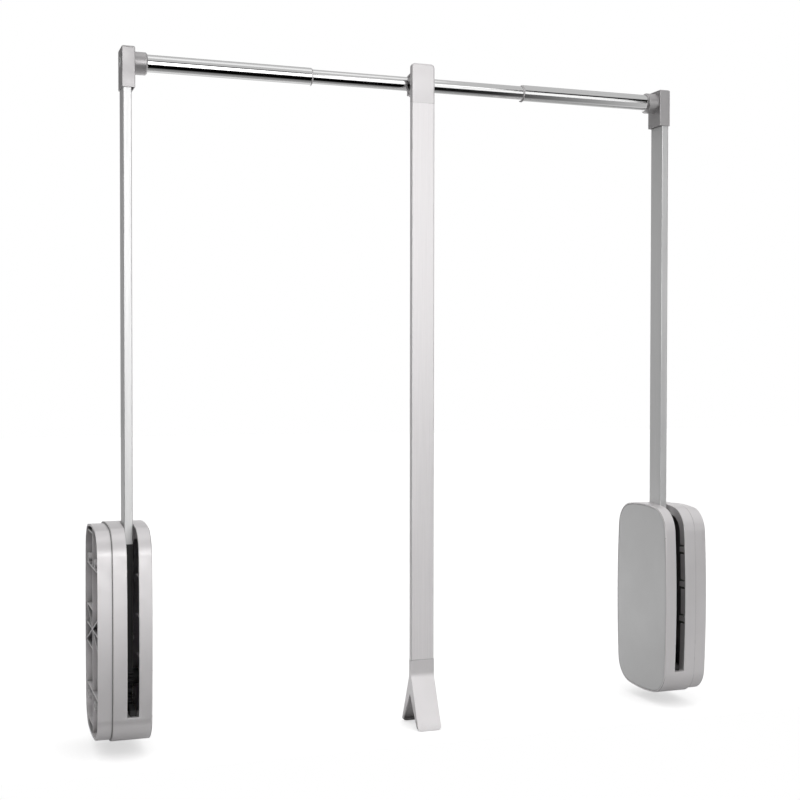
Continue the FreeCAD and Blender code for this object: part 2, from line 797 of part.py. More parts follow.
def as_arc(edge):
    """A flank as the arc through its ends and middle; other edges stay as they are."""
    if not isinstance(edge.Curve, Part.BezierCurve):
        return edge
    first, last = edge.ParameterRange
    spots = [edge.valueAt(first + (last - first) * share) for share in (0, 0.5, 1)]
    return Part.Arc(*spots).toShape()


def gear_solid(name, teeth, centre_z, first_tooth):
    """A spur gear on the arm's plane, with involute teeth and its first tooth turned
    by first_tooth degrees from +Y towards +Z."""
    builder = fcgear.FCWireBuilder()
    involute.CreateExternalGear(builder, sheet.gear_module, teeth, PRESSURE, False, TOOTH_TIP)
    face = Part.Face(Part.Wire([as_arc(piece.toShape()) for piece in builder.wire]))
    item = doc.addObject("Part::Feature", name)
    item.Shape = face.extrude(Vector(0, 0, sheet.gear_width))
    upright = FreeCAD.Rotation(Vector(1, 1, 1), 120)
    turned = upright * FreeCAD.Rotation(Vector(0, 0, 1), first_tooth)
    item.Placement = FreeCAD.Placement(Vector(), turned)
    return place(item, HUB_FACE, "dim.pivot_y", centre_z)


RIVET_RADIUS = 2.5
RIVET_RISE = 8  # above the foot of the arm
RIVET_REACH = 7  # in front of and behind the middle of the arm
LEVER_START = 3  # above the pivot, inside the toothed hub
LEVER_WEB = 3.4
LEVER_FLANGE = 4
LEVER_POCKET = 24  # from the pivot up to the pockets in the lever's sides


def arm_hub(name):
    """Toothed hub with a lever: the teeth run rack and damper, the lever carries the arm."""
    front, left = "(dim.pivot_y - dim.arm_deep / 2)", "(dim.arm_inset - dim.arm_thick / 2)"
    foot = f"({PIVOT_Z} + {LEVER_START})"
    teeth = cut(
        f"{name}_teeth",
        gear_solid(f"{name}_gear", int(sheet.hub_teeth), PIVOT_Z, 0),
        block(
            f"{name}_top_relief",
            ("0", f"dim.pivot_y - {THROUGH}", f"{PIVOT_Z} + dim.boss_radius"),
            ("dim.case_thickness", f"2 * {THROUGH}", THROUGH),
        ),
    )
    lever = block(
        f"{name}_lever",
        (HUB_FACE, front, foot),
        ("dim.gear_width", "dim.arm_deep", f"{ARM_FOOT} - {foot}"),
    )
    slack = "(dim.arm_wall + dim.seat_gap / 2)"
    tang = block(
        f"{name}_tang",
        (f"{left} + {slack}", f"{front} + {slack}", f"{ARM_FOOT} - 1"),
        (
            f"dim.arm_thick - 2 * {slack}",
            f"dim.arm_deep - 2 * {slack}",
            "dim.tang_length + 1",
        ),
    )
    bore = cylinder(
        f"{name}_bore",
        "x",
        ("20", "dim.pivot_y", PIVOT_Z),
        "dim.pin_radius + dim.run_gap + dim.bush_wall + dim.fit_gap",
        THROUGH,
    )
    pockets = [
        block(
            f"{name}_pocket_{side}",
            (start, f"{front} + {LEVER_FLANGE}", f"{PIVOT_Z} + {LEVER_POCKET}"),
            (
                THROUGH,
                f"dim.arm_deep - 2 * {LEVER_FLANGE}",
                f"dim.shoulder - {LEVER_POCKET} - {LEVER_FLANGE}",
            ),
        )
        for side, start in (
            ("wall", f"dim.arm_inset - {LEVER_WEB} / 2 - {THROUGH}"),
            ("room", f"dim.arm_inset + {LEVER_WEB} / 2"),
        )
    ]
    body = fuse(f"{name}_body", teeth, lever, tang)
    return cut(name, body, bore, *pockets, *rivet_holes(name))


def rivets(name, start, radius, length):
    """One cylinder for each rivet between the hub's tang and the foot of the arm."""
    return [
        cylinder(
            f"{name}{number}",
            "x",
            (start, f"dim.pivot_y + {sign * RIVET_REACH}", f"{ARM_FOOT} + {RIVET_RISE}"),
            radius,
            length,
        )
        for number, sign in enumerate((-1, 1), 1)
    ]


def rivet_holes(name):
    return rivets(f"{name}_rivet_hole", "20", f"{RIVET_RADIUS} + dim.fit_gap", THROUGH)


def hub_rivets(name):
    start = "dim.arm_inset - dim.arm_thick / 2"
    return group(name, *rivets(name, start, str(RIVET_RADIUS), "dim.arm_thick"))


def spring_rack(name):
    """Carriage: a straight rack in front, a collar on the spring rod behind."""
    module = "dim.gear_module"
    tip = f"({RACK_Y} - {TOOTH_TIP} * {module})"
    root = f"({RACK_Y} + {TOOTH_ROOT} * {module})"
    body = doc.addObject("PartDesign::Body", f"{name}_rack")
    bar = new_sketch(body, "YZ_Plane", HUB_FACE)
    back = f"({ROD_BACK_Y} - dim.spring_rod_radius - 1)"
    polygon(
        bar,
        ((root, CARRIAGE_LOW), (back, CARRIAGE_LOW), (back, CARRIAGE_TOP), (root, CARRIAGE_TOP)),
    )
    extrude(body, bar, "dim.gear_width")
    tooth = new_sketch(body, "YZ_Plane", HUB_FACE)
    slope = math.tan(math.radians(PRESSURE))
    middle = f"({PIVOT_Z} - dim.gear_module * pi / 2)"
    half_tip = f"({module} * (pi / 4 - {TOOTH_TIP} * {slope}))"
    half_root = f"({module} * (pi / 4 + {TOOTH_ROOT} * {slope}))"
    polygon(
        tooth,
        (
            (tip, f"{middle} - {half_tip}"),
            (f"{root} + 0.5", f"{middle} - {half_root}"),
            (f"{root} + 0.5", f"{middle} + {half_root}"),
            (tip, f"{middle} + {half_tip}"),
        ),
    )
    pad = extrude(body, tooth, "dim.gear_width")
    doc.recompute()
    pitch = sheet.gear_module * math.pi
    travel = sheet.gear_module * sheet.hub_teeth / 2 * math.radians(sheet.swing)
    below = int((travel + RACK_SPARE) / pitch)
    pattern = body.newObject("PartDesign::LinearPattern", f"{name}_teeth")
    pattern.Originals = [pad]
    pattern.Direction = (tooth, ["V_Axis"])
    pattern.Reversed = True
    pattern.Occurrences = below
    pattern.setExpression("Length", f"{below - 1} * pi * dim.gear_module")
    upper = body.newObject("PartDesign::LinearPattern", f"{name}_upper_teeth")
    upper.Originals = [pad]
    upper.Direction = (tooth, ["V_Axis"])
    upper.Occurrences = 2
    upper.setExpression("Length", "pi * dim.gear_module")
    body.Tip = upper
    collar = cylinder(
        f"{name}_collar",
        "z",
        ("dim.arm_inset", ROD_BACK_Y, CARRIAGE_LOW),
        "dim.collar_radius",
        f"{COLLAR_TOP} - {CARRIAGE_LOW}",
    )
    bore = cylinder(
        f"{name}_bore",
        "z",
        ("dim.arm_inset", ROD_BACK_Y, "-dim.case_height / 2"),
        "dim.spring_rod_radius + dim.run_gap",
        "dim.case_height",
    )
    return cut(name, fuse(f"{name}_body", body, collar), bore)


SPRING_GAP = 0.3  # between the coil's ends and their seats


def lift_spring(name):
    """A compression spring between the carriage's collar and the upper lug."""
    wire, radius = sheet.wire_radius, sheet.spring_radius
    pivot_z = sheet.pivot_rise - sheet.case_height / 2
    low = pivot_z + COLLAR_RISE + wire + SPRING_GAP
    spring_top = sheet.case_height / 2 - sheet.spring_drop
    height = spring_top - wire - SPRING_GAP - low
    helix = Part.makeHelix(height / sheet.spring_turns, height, radius)
    # the wire's section is a hexagon, which keeps the faces of the long coil few
    turns = [math.radians(turn) for turn in range(0, 361, 60)]
    corners = [Vector(radius + wire * math.cos(t), 0, wire * math.sin(t)) for t in turns]
    coil = Part.Wire(helix.Edges).makePipeShell([Part.makePolygon(corners)], True, True)
    item = doc.addObject("Part::Feature", name)
    item.Shape = coil
    return place(item, "dim.arm_inset", ROD_BACK_Y, str(low))


def spring_rod(name):
    low = f"({CARRIAGE_LOW_LUG} - 2)"
    return cylinder(
        name,
        "z",
        ("dim.arm_inset", ROD_BACK_Y, low),
        "dim.spring_rod_radius",
        f"{SPRING_TOP} + dim.lug + 2 - {low}",
    )


SHAFT_RADIUS = 3
SHAFT_SEAT = 3  # floor of the drum under the pinion's shaft


def damper_body(name):
    length = f"({HUB_FACE} - 1 - dim.base_thickness)"
    spot = ("dim.pivot_y", PINION_Z)
    return cut(
        name,
        cylinder(
            f"{name}_drum", "x", ("dim.base_thickness", *spot), "dim.damper_radius", length
        ),
        cylinder(
            f"{name}_bore",
            "x",
            (f"dim.base_thickness + {SHAFT_SEAT}", *spot),
            f"{SHAFT_RADIUS} + dim.run_gap",
            THROUGH,
        ),
    )


def damper_pinion(name):
    """The damper's pinion on its stub shaft."""
    start = f"(dim.base_thickness + {SHAFT_SEAT} + 1)"
    shaft = cylinder(
        f"{name}_shaft",
        "x",
        (start, "dim.pivot_y", PINION_Z),
        str(SHAFT_RADIUS),
        f"{HUB_FACE} + 2 - {start}",
    )
    # the hub's nearest tooth is this share of a pitch away from straight down
    phase = sheet.hub_teeth / 4 % 1
    first = 90 + (0.5 - phase) * 360 / sheet.pinion_teeth
    gear = gear_solid(f"{name}_gear", int(sheet.pinion_teeth), PINION_Z, first)
    return fuse(name, gear, shaft)


both_sides("pivot_pin", pivot_pin)
both_sides("pivot_bushes", pivot_bushes)
both_sides("arm_hub", arm_hub)
both_sides("hub_rivets", hub_rivets)
both_sides("spring_rack", spring_rack)
both_sides("lift_spring", lift_spring)
both_sides("spring_rod", spring_rod)
both_sides("damper_body", damper_body)
both_sides("damper_pinion", damper_pinion)


# ---- arms and rail -------------------------------------------------------------------

def arm(name):
    """Hollow flat bar with rounded long edges."""
    outer = block(
        f"{name}_outer",
        (
            "dim.arm_inset - dim.arm_thick / 2",
            "dim.pivot_y - dim.arm_deep / 2",
            ARM_FOOT,
        ),
        ("dim.arm_thick", "dim.arm_deep", f"{ARM_TOP} - {ARM_FOOT}"),
    )
    soft = rounded(f"{name}_soft", outer, sheet.arm_edge, along("z"))
    hollow = block(
        f"{name}_hollow",
        (
            "dim.arm_inset - dim.arm_thick / 2 + dim.arm_wall",
            "dim.pivot_y - dim.arm_deep / 2 + dim.arm_wall",
            f"{ARM_FOOT} - 1",
        ),
        (
            "dim.arm_thick - 2 * dim.arm_wall",
            "dim.arm_deep - 2 * dim.arm_wall",
            f"{ARM_TOP} - {ARM_FOOT} + 2",
        ),
    )
    return cut(name, soft, hollow, bracket_screw_hole(name), *rivet_holes(name))


BRACKET_EDGE = 1
BRACKET_CROWN = 2.4  # rounded edges of the bracket's top
BRACKET_LIP = 0.9  # wall around the bracket's widened mouth
MOUTH_RISE = 12
SOCKET_BEVEL = 2
SOCKET_NOSE = 1.6  # the bevel takes this off the socket's radius
CAP_RADIUS = 6.3
CAP_ROOM = 0.4
CAP_RECESS = 2
PLUG_GRIP = 14  # the bracket screw reaches this far into the plug


def rod_bracket(name):
    """Knuckle on top of the arm with the socket for the rail."""
    back, front = BRACKET_BACK, "(dim.pivot_y - dim.bracket_deep / 2)"
    head = block(
        f"{name}_head",
        (back, front, f"{ROD_Z} - dim.bracket_below"),
        ("dim.bracket_wide", "dim.bracket_deep", "dim.bracket_above + dim.bracket_below"),
    )
    upright = rounded(f"{name}_upright", head, BRACKET_EDGE, along("z"))
    doc.recompute()
    top = upright.Shape.BoundBox.ZMax
    soft = rounded(
        f"{name}_soft", upright, BRACKET_CROWN, lambda edge: edge.BoundBox.ZMin > top - 1e-3
    )
    bevel_x = f"({BRACKET_FACE} + dim.socket_length - {SOCKET_BEVEL})"
    socket = fuse(
        f"{name}_socket",
        cylinder(
            f"{name}_collar",
            "x",
            ("dim.arm_inset", "dim.pivot_y", ROD_Z),
            "dim.socket_radius",
            f"{bevel_x} - dim.arm_inset",
        ),
        cone(
            f"{name}_chamfer",
            "x",
            (bevel_x, "dim.pivot_y", ROD_Z),
            "dim.socket_radius",
            f"dim.socket_radius - {SOCKET_NOSE}",
            str(SOCKET_BEVEL),
        ),
    )
    slack = "dim.seat_gap / 2"
    pocket = block(
        f"{name}_pocket",
        (
            f"dim.arm_inset - dim.arm_thick / 2 - {slack}",
            f"dim.pivot_y - dim.arm_deep / 2 - {slack}",
            f"{ROD_Z} - dim.bracket_below - 1",
        ),
        (
            f"dim.arm_thick + 2 * {slack}",
            f"dim.arm_deep + 2 * {slack}",
            f"{ARM_TOP} + {slack} - {ROD_Z} + dim.bracket_below + 1",
        ),
    )
    mouth = block(
        f"{name}_mouth",
        (f"{back} + {BRACKET_LIP}", f"{front} + {BRACKET_LIP}", f"{ROD_Z} - dim.bracket_below - 1"),
        (
            f"dim.bracket_wide - 2 * {BRACKET_LIP}",
            f"dim.bracket_deep - 2 * {BRACKET_LIP}",
            f"{MOUTH_RISE} + 1",
        ),
    )
    tube_bore = cylinder(
        f"{name}_tube_bore",
        "x",
        (TUBE_X, "dim.pivot_y", ROD_Z),
        "dim.tube_radius + dim.fit_gap",
        THROUGH,
    )
    cap_seat = cylinder(
        f"{name}_cap_seat",
        "x",
        (f"{back} - 1", "dim.pivot_y", ROD_Z),
        f"{CAP_RADIUS} + {CAP_ROOM}",
        "dim.bracket_wall + 1 + dim.arm_wall",
    )
    screw_hole = bracket_screw_hole(name)
    body = fuse(f"{name}_body", soft, socket)
    return cut(name, body, pocket, mouth, tube_bore, cap_seat, screw_hole)


def bracket_screw_hole(name):
    return cylinder(
        f"{name}_screw_hole",
        "x",
        ("0", "dim.pivot_y", ROD_Z),
        "dim.screw_radius + dim.fit_gap",
        "dim.case_thickness",
    )


def bracket_screw(name):
    """Screw with a flat round head, from the wall side through the arm into the plug."""
    spot = ("dim.pivot_y", ROD_Z)
    start = BRACKET_BACK
    length = f"{TUBE_X} + {PLUG_GRIP} - {start}"
    shank = cylinder(f"{name}_shank", "x", (start, *spot), "dim.screw_radius", length)
    rim = cone(
        f"{name}_rim", "x", (start, *spot), f"{CAP_RADIUS} - 0.4", str(CAP_RADIUS), "0.4"
    )
    cap = cylinder(
        f"{name}_cap", "x", (f"{start} + 0.4", *spot), str(CAP_RADIUS), "dim.bracket_wall - 0.4"
    )
    recess = cylinder(f"{name}_recess", "x", (f"{start} - 1", *spot), str(CAP_RECESS), "1.8")
    return cut(name, fuse(f"{name}_body", shank, rim, cap), recess)


def tube_plug(name):
    return cut(
        name,
        cylinder(
            f"{name}_body",
            "x",
            (TUBE_X, "dim.pivot_y", ROD_Z),
            "dim.tube_radius - dim.tube_wall - dim.fit_gap",
            "dim.plug_length",
        ),
        cylinder(
            f"{name}_pilot",
            "x",
            (f"{TUBE_X} - 1", "dim.pivot_y", ROD_Z),
            "dim.screw_radius + dim.fit_gap",
            f"{PLUG_GRIP} + 2",
        ),
    )


def outer_tube(name, mouth):
    return cut(
        name,
        cylinder(
            f"{name}_out",
            "x",
            (TUBE_X, "dim.pivot_y", ROD_Z),
            "dim.tube_radius",
            f"{mouth} - {TUBE_X}",
        ),
        cylinder(
            f"{name}_in",
            "x",
            (f"{TUBE_X} - 1", "dim.pivot_y", ROD_Z),
            "dim.tube_radius - dim.tube_wall",
            f"{mouth} - {TUBE_X} + 2",
        ),
    )


def tube_sleeve(name, mouth):
    """Guide sleeve in the tube's mouth, with a chamfered lip outside it."""
    spot = ("dim.pivot_y", ROD_Z)
    return cut(
        name,
        fuse(
            f"{name}_body",
            cylinder(
                f"{name}_guide",
                "x",
                (f"{mouth} - dim.sleeve_length", *spot),
                "dim.tube_radius - dim.tube_wall - dim.fit_gap",
                "dim.sleeve_length",
            ),
            cylinder(f"{name}_lip", "x", (mouth, *spot), "dim.tube_radius", "1"),
            cone(
                f"{name}_chamfer",
                "x",
                (f"{mouth} + 1", *spot),
                "dim.tube_radius",
                "dim.inner_radius + 0.6",
                "1",
            ),
        ),
        cylinder(
            f"{name}_bore",
            "x",
            (f"{mouth} - dim.sleeve_length - 1", *spot),
            "dim.inner_radius + dim.run_gap",
            "dim.sleeve_length + 5",
        ),
    )


both_sides("arm", arm)
both_sides("rod_bracket", rod_bracket)
both_sides("bracket_screw", bracket_screw)
both_sides("tube_plug", tube_plug)
nodes["left_outer_tube"] = outer_tube("left_outer_tube", "dim.left_mouth")
nodes["left_tube_sleeve"] = tube_sleeve("left_tube_sleeve", "dim.left_mouth")
nodes["right_outer_tube"] = mirrored("right_outer_tube", outer_tube("tube_r", "dim.right_mouth"))
nodes["right_tube_sleeve"] = mirrored(
    "right_tube_sleeve", tube_sleeve("sleeve_r", "dim.right_mouth")
)


def inner_tube(name):
    length = f"(dim.span - 2 * {INNER_X})"
    return cut(
        name,
        cylinder(f"{name}_out", "x", (INNER_X, "dim.pivot_y", ROD_Z), "dim.inner_radius", length),
        cylinder(
            f"{name}_in",
            "x",
            (f"{INNER_X} - 1", "dim.pivot_y", ROD_Z),
            "dim.inner_radius - dim.tube_wall",
            f"{length} + 2",
        ),
    )


def inner_glides(name):
    """Plastic rings on the two ends of the inner tube."""

    def glide(side, start):
        spot = (start, "dim.pivot_y", ROD_Z)
        return cut(
            f"{name}_{side}",
            cylinder(
                f"{name}_{side}_out",
                "x",
                spot,
                "dim.tube_radius - dim.tube_wall - dim.run_gap",
                "dim.glide_length",
            ),
            cylinder(
                f"{name}_{side}_in", "x", spot, "dim.inner_radius + dim.fit_gap", "dim.glide_length"
            ),
        )

    return group(
        name, glide("left", INNER_X), glide("right", f"dim.span - {INNER_X} - dim.glide_length")
    )


nodes["inner_tube"] = inner_tube("inner_tube")
nodes["inner_glides"] = inner_glides("inner_glides")


# ---- handle --------------------------------------------------------------------------

HEAD_CORNER = 5.5
SADDLE_INSET = 2  # the saddle is this much narrower than the head on each side
SADDLE_SPLIT = 0.4  # joint between saddle and strap
SADDLE_ROOT = 13.1  # top of the saddle at the shield, above the rail axis
SADDLE_TIP = 10.5  # and at the joint
SADDLE_HEEL = 17.3  # bottom of the saddle at the shield, below the rail axis
SADDLE_FOOT = 15.2  # and at the joint
SADDLE_WINDOW = (-7, -1)  # opening between shield and rail, from the rail axis
SIDE_POCKETS = ((14.9, 9.2), (17.9, -12.3))  # behind the handle's front, above the rail axis
POCKET_RADIUS = 1.2
POCKET_DEEP = 3
STRAP_INSET = 6
STRAP_WALL = 2
HOOK_START = 13  # behind the handle's front
HOOK_THICK = 1.8
HOOK_TOOTH = 1.6
CLAMP_SCREW_DROP = 13.2
CLAMP_SCREW_REACH = 6  # to both sides of the middle
CLAMP_SCREW = 1.3
CLAMP_SCREW_HEAD = 1.9
CLAMP_SCREW_LONG = 12
CLAMP_EAR = 3.5
CLAMP_TURN_GAP = 0.09  # radial gap in which the clamp turns on the inner tube


TANG_INSET = "(dim.bar_wall + dim.seat_gap / 2)"
TANG_ROOT = 4


def rail_bore(name):
    """The hole in which the inner tube turns."""
    return cylinder(
        name,
        "x",
        ("dim.handle_x - dim.handle_wide", "dim.pivot_y", ROD_Z),
        f"dim.inner_radius + {CLAMP_TURN_GAP}",
        "2 * dim.handle_wide",
    )


def clamp_screw_holes(name, radius):
    return [
        cylinder(
            f"{name}_hole{number}",
            "y",
            (
                f"dim.handle_x + {sign * CLAMP_SCREW_REACH}",
                "dim.pivot_y - 13",
                f"{ROD_Z} - {CLAMP_SCREW_DROP}",
            ),
            radius,
            THROUGH,
        )
        for number, sign in enumerate((1, -1), 1)
    ]


def saddle_top(reach):
    """Height of the saddle's sloping top, reach behind the handle's front."""
    run = f"(dim.handle_reach - {SADDLE_SPLIT} - dim.bar_deep)"
    fall = f"({reach} - dim.bar_deep) * {SADDLE_ROOT - SADDLE_TIP} / {run}"
    return f"({ROD_Z} + {SADDLE_ROOT} - {fall})"


def bar_section(name, inset, low, length, edge=None):
    """A straight stretch of the handle bar's section, made smaller by inset."""
    section = block(
        name,
        (f"dim.handle_x - dim.handle_wide / 2 + {inset}", f"{HANDLE_Y} + {inset}", low),
        (f"dim.handle_wide - 2 * {inset}", f"dim.bar_deep - 2 * {inset}", length),
    )
    return rounded(f"{name}_soft", section, edge, along("z")) if edge else section


def handle_head(name):
    """Front half of the clamp that hangs the handle on the inner tube."""
    plate = block(
        f"{name}_plate",
        ("dim.handle_x - dim.handle_wide / 2", HANDLE_Y, BAR_TOP),
        ("dim.handle_wide", "dim.bar_deep", "dim.head_below + dim.head_above"),
    )
    doc.recompute()
    top = plate.Shape.BoundBox.ZMax

    def top_corner(edge):
        return along("y")(edge) and edge.BoundBox.ZMin > top - 1e-3

    shield = rounded(f"{name}_shield", plate, HEAD_CORNER, top_corner)
    soft = rounded(f"{name}_soft", shield, sheet.bar_edge, along("z"))
    saddle = prism(
        f"{name}_saddle",
        "YZ_Plane",
        f"dim.handle_x - dim.handle_wide / 2 + {SADDLE_INSET}",
        (
            (f"{HANDLE_Y} + dim.bar_deep / 2", f"{ROD_Z} - {SADDLE_HEEL}"),
            (f"dim.pivot_y - {SADDLE_SPLIT}", f"{ROD_Z} - {SADDLE_FOOT}"),
            (
                f"dim.pivot_y - {SADDLE_SPLIT}",
                saddle_top(f"(dim.handle_reach - {SADDLE_SPLIT})"),
            ),
            (f"{HANDLE_Y} + dim.bar_deep / 2", saddle_top("(dim.bar_deep / 2)")),
        ),
        f"dim.handle_wide - 2 * {SADDLE_INSET}",
    )
    low, high = SADDLE_WINDOW
    window = block(
        f"{name}_window",
        (
            "dim.handle_x - dim.handle_wide",
            f"{HANDLE_Y} + dim.bar_deep",
            f"{ROD_Z} + {low}",
        ),
        ("2 * dim.handle_wide", "dim.handle_reach - dim.bar_deep", str(high - low)),
    )
    groove = block(
        f"{name}_groove",
        (
            f"dim.handle_x - dim.handle_wide / 2 + {STRAP_INSET} - 0.2",
            f"{HANDLE_Y} + {HOOK_START} - 0.1",
            f"{saddle_top(HOOK_START)} - {HOOK_TOOTH}",
        ),
        (f"dim.handle_wide - 2 * {STRAP_INSET} + 0.4", f"{HOOK_TOOTH} + 0.2", "10"),
    )
    pockets = [
        cylinder(
            f"{name}_pocket_{side}{number}",
            "x",
            (start, f"{HANDLE_Y} + {reach}", f"{ROD_Z} + {rise}"),
            str(POCKET_RADIUS),
            f"{POCKET_DEEP} + 1",
        )
        for side, start in (
            ("left", f"dim.handle_x - dim.handle_wide / 2 + {SADDLE_INSET} - 1"),
            ("right", f"dim.handle_x + dim.handle_wide / 2 - {SADDLE_INSET} - {POCKET_DEEP}"),
        )
        for number, (reach, rise) in enumerate(SIDE_POCKETS, 1)
    ]
    tang = bar_section(
        f"{name}_tang", TANG_INSET, f"{BAR_TOP} - dim.tang_grip", f"dim.tang_grip + {TANG_ROOT}"
    )
    return cut(
        name,
        fuse(f"{name}_body", soft, saddle, tang),
        window,
        groove,
        *pockets,
        rail_bore(f"{name}_bore"),
        *clamp_screw_holes(name, f"{CLAMP_SCREW} + dim.fit_gap"),
        pin_hole(name, "head"),
    )


def handle_clamp(name):
    """Rear half of the clamp: a strap with a hook above and an ear for the screws below."""
    width = f"dim.handle_wide - 2 * {STRAP_INSET}"
    start = f"dim.handle_x - dim.handle_wide / 2 + {STRAP_INSET}"
    spot = (start, "dim.pivot_y", ROD_Z)
    strap = cylinder(f"{name}_strap", "x", spot, f"dim.inner_radius + {STRAP_WALL}", width)
    front = block(
        f"{name}_front",
        ("dim.handle_x - dim.handle_wide", "dim.pivot_y - 30", f"{ROD_Z} - 30"),
        ("2 * dim.handle_wide", "30", "60"),
    )
    ear = block(
        f"{name}_ear",
        (start, "dim.pivot_y", f"{ROD_Z} - {SADDLE_FOOT}"),
        (width, str(CLAMP_EAR), f"{SADDLE_FOOT} / 2"),
    )
    end = "(dim.handle_reach + 1.5)"
    hook = prism(
        f"{name}_hook",
        "YZ_Plane",
        start,
        (
            (f"{HANDLE_Y} + {HOOK_START}", f"{saddle_top(HOOK_START)} + 0.1"),
            (f"{HANDLE_Y} + {end}", f"{saddle_top(end)} + 0.1"),
            (f"{HANDLE_Y} + {end}", f"{saddle_top(end)} + {HOOK_THICK}"),
            (f"{HANDLE_Y} + {HOOK_START}", f"{saddle_top(HOOK_START)} + {HOOK_THICK}"),
        ),
        width,
    )
    tooth = block(
        f"{name}_tooth",
        (start, f"{HANDLE_Y} + {HOOK_START}", f"{saddle_top(HOOK_START)} - {HOOK_TOOTH} + 0.2"),
        (width, str(HOOK_TOOTH), f"{HOOK_TOOTH} + 0.6"),
    )
    return cut(
        name,
        fuse(f"{name}_body", cut(f"{name}_rear", strap, front), ear, hook, tooth),
        rail_bore(f"{name}_bore"),
        *clamp_screw_holes(name, f"{CLAMP_SCREW} + dim.fit_gap"),
    )


def clamp_screws(name):
    screws = []
    for number, sign in enumerate((1, -1), 1):
        across = f"dim.handle_x + {sign * CLAMP_SCREW_REACH}"
        level = f"{ROD_Z} - {CLAMP_SCREW_DROP}"
        shank = cylinder(
            f"{name}{number}_shank",
            "y",
            (across, f"dim.pivot_y - {CLAMP_SCREW_LONG}", level),
            str(CLAMP_SCREW),
            f"{CLAMP_SCREW_LONG} + {CLAMP_EAR}",
        )
        head = cylinder(
            f"{name}{number}_head",
            "y",
            (across, f"dim.pivot_y + {CLAMP_EAR}", level),
            str(CLAMP_SCREW_HEAD),
            "2",
        )
        screws.append(fuse(f"{name}{number}", shank, head))
    return group(name, *screws)


def handle_bar(name):
    """Hollow flat extrusion between head and foot."""
    soft = bar_section(f"{name}_outer", "0", BAR_BOTTOM, "dim.bar_length", sheet.bar_edge)
    low, length = f"{BAR_BOTTOM} - 1", "dim.bar_length + 2"
    hollow = bar_section(f"{name}_hollow", "dim.bar_wall", low, length)
    return cut(name, soft, hollow, pin_hole(name, "head"), pin_hole(name, "foot"))


PIN_RADIUS = 1.5
PIN_RISE = 12  # from the ends of the bar
PIN_SPOTS = {"head": f"({BAR_TOP} - {PIN_RISE})", "foot": f"({BAR_BOTTOM} + {PIN_RISE})"}
PIN_START = f"({HANDLE_Y} + dim.bar_wall + 1)"


def pin_hole(name, end):
    return cylinder(
        f"{name}_{end}_pin_hole",
        "y",
        ("dim.handle_x", f"{PIN_START} - dim.seat_gap", PIN_SPOTS[end]),
        f"{PIN_RADIUS} + dim.fit_gap",
        "dim.bar_deep * 2",
    )


def handle_pins(name):
    """Spring pins that hold head and foot in the bar, driven in from behind."""
    return group(
        name,
        *[
            cylinder(
                f"{name}_{end}",
                "y",
                ("dim.handle_x", PIN_START, PIN_SPOTS[end]),
                str(PIN_RADIUS),
                f"{HANDLE_Y} + dim.bar_deep - {PIN_START}",
            )
            for end in ("head", "foot")
        ],
    )


TOE_CORNER = 5.5
NECK_BEND = 24
LEG_WALL = 2.2
LEG_RIM = 3  # bottom rim below the hollow of a leg


def leg_hollow(name, way, apex, low):
    """The hollow in the inner side of a leg that spreads towards way * Y."""
    middle = f"({HANDLE_Y} + dim.bar_deep / 2)"
    slope = "(dim.leg_splay / dim.foot_legs)"
    neck = f"({BAR_BOTTOM} - dim.foot_neck)"
    top, floor = f"({apex} - 3)", f"({low} + {LEG_RIM})"

    def skin_at(level):
        half = f"dim.bar_deep / 2 - {LEG_WALL} + {slope} * ({neck} - {level})"
        return f"{middle} + {way} * ({half})"

    return prism(
        name,
        "YZ_Plane",
        f"dim.handle_x - dim.handle_wide / 2 + {LEG_WALL}",
        (
            (middle, top),
            (skin_at(top), top),
            (skin_at(floor), floor),
            (f"{middle} + {way} * (dim.leg_splay / 2)", floor),
        ),
        f"dim.handle_wide - 2 * {LEG_WALL}",
    )


def handle_foot(name):
    """Splayed grip at the bottom: two legs with a finger gap between them."""
    back = f"({HANDLE_Y} + dim.bar_deep)"
    middle = f"({HANDLE_Y} + dim.bar_deep / 2)"
    neck = f"({BAR_BOTTOM} - dim.foot_neck)"
    low = f"({BAR_BOTTOM} - dim.foot_neck - dim.foot_legs)"
    outline = prism(
        f"{name}_profile",
        "YZ_Plane",
        "dim.handle_x - dim.handle_wide / 2",
        (
            (HANDLE_Y, BAR_BOTTOM),
            (HANDLE_Y, neck),
            (f"{HANDLE_Y} - dim.leg_splay", low),
            (f"{HANDLE_Y} - dim.leg_splay + dim.toe_deep", low),
            (middle, f"{neck} - dim.leg_apex"),
            (f"{back} + dim.leg_splay - dim.toe_deep", low),
            (f"{back} + dim.leg_splay", low),
            (back, neck),
            (back, BAR_BOTTOM),
        ),
        "dim.handle_wide",
    )
    doc.recompute()
    shape = outline.Shape.BoundBox

    def toe_corner(edge):
        """The short edges at the bottom, one at each side of each leg."""
        box = edge.BoundBox
        return box.ZMax < shape.ZMin + 1e-3 and box.XLength < 1e-3

    toes = rounded(f"{name}_toes", outline, TOE_CORNER, toe_corner)
    bends = rounded(
        f"{name}_bends",
        toes,
        NECK_BEND,
        lambda edge: along("x")(edge)
        and shape.ZMin + 50 < edge.BoundBox.ZMin < shape.ZMax - 1
        and abs(edge.BoundBox.YMin - (shape.YMin + shape.YMax) / 2) > 1,
    )
    tang = bar_section(
        f"{name}_tang", TANG_INSET, f"{BAR_BOTTOM} - {TANG_ROOT}", f"dim.tang_grip + {TANG_ROOT}"
    )
    apex = f"({neck} - dim.leg_apex)"
    hollows = [
        leg_hollow(f"{name}_{leg}_hollow", way, apex, low)
        for leg, way in (("front", -1), ("rear", 1))
    ]
    body = fuse(f"{name}_body", bends, tang)
    return cut(name, body, *hollows, pin_hole(name, "foot"))


